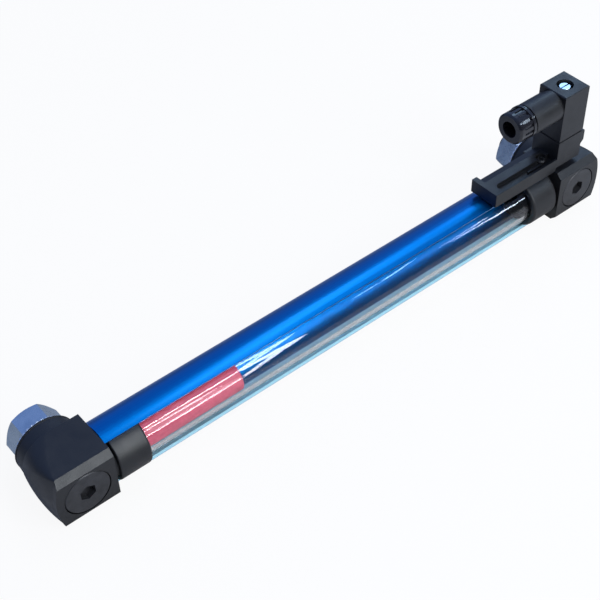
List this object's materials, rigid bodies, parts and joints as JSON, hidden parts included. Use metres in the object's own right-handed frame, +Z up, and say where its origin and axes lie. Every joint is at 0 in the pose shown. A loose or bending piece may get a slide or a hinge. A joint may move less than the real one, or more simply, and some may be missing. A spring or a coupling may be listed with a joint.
{
  "type": "tube level gauge",
  "caption": "Tank level gauge: clear tube with a float between two bolted heads, a channel behind it, and a level contact with a square plug near the upper head.",
  "frame": {"origin": "on the lower tank bolt's axis, in the plane of its nut's outer face", "axes": "+Z up along the tube, +Y along the bolts into the tank, +X to the right seen from the front"},
  "size_m": [0.0642, 0.0438, 0.282],
  "materials": {
    "black_nylon": "moulded, fine satin grain",
    "clear_tube": "clear and polished",
    "blue_anodised": "blue anodised, drawn grain along its length",
    "red_float": "smooth, slightly glossy",
    "black_steel": "blackened, satin",
    "zinc_steel": "bright zinc plating with a blue tone",
    "seal_rubber": "matt",
    "magnet": "sintered, matt",
    "reed_glass": "clear",
    "resin": "cast",
    "tinned_brass": "tinned",
    "grey_insert": "moulded"
  },
  "bodies": {
    "gauge": {"lower_head": "black_nylon", "upper_head": "black_nylon", "lower_collar": "black_nylon", "upper_collar": "black_nylon", "sight_tube": "clear_tube", "shield_profile": "blue_anodised", "lower_bolt": "black_steel", "upper_bolt": "black_steel", "lower_wall_seal": "seal_rubber", "upper_wall_seal": "seal_rubber", "lower_washer": "zinc_steel", "upper_washer": "zinc_steel", "lower_nut": "zinc_steel", "upper_nut": "zinc_steel", "sensor_base": "black_nylon", "base_screw": "black_steel", "connector_gasket": "seal_rubber", "connector_housing": "black_nylon", "connector_screw": "zinc_steel", "gland_nut": "black_nylon", "lower_tube_seal": "seal_rubber", "upper_tube_seal": "seal_rubber", "lower_spigot_seal": "seal_rubber", "upper_spigot_seal": "seal_rubber", "lower_bolt_seal": "seal_rubber", "upper_bolt_seal": "seal_rubber", "reed_switch": "reed_glass", "reed_leads": "zinc_steel", "sensor_potting": "resin", "contact_blades": "tinned_brass", "terminal_insert": "grey_insert", "terminal_screws": "zinc_steel", "gland_seal": "seal_rubber", "gland_washer": "zinc_steel"},
    "float": {"float_body": "red_float", "float_magnet": "magnet", "float_plug": "red_float"}
  },
  "joints": [
    {"name": "float_slide", "type": "slide", "parent": "gauge", "child": "float", "axis": [0, 0, 1], "range_m": [0, 0.1611]}
  ]
}
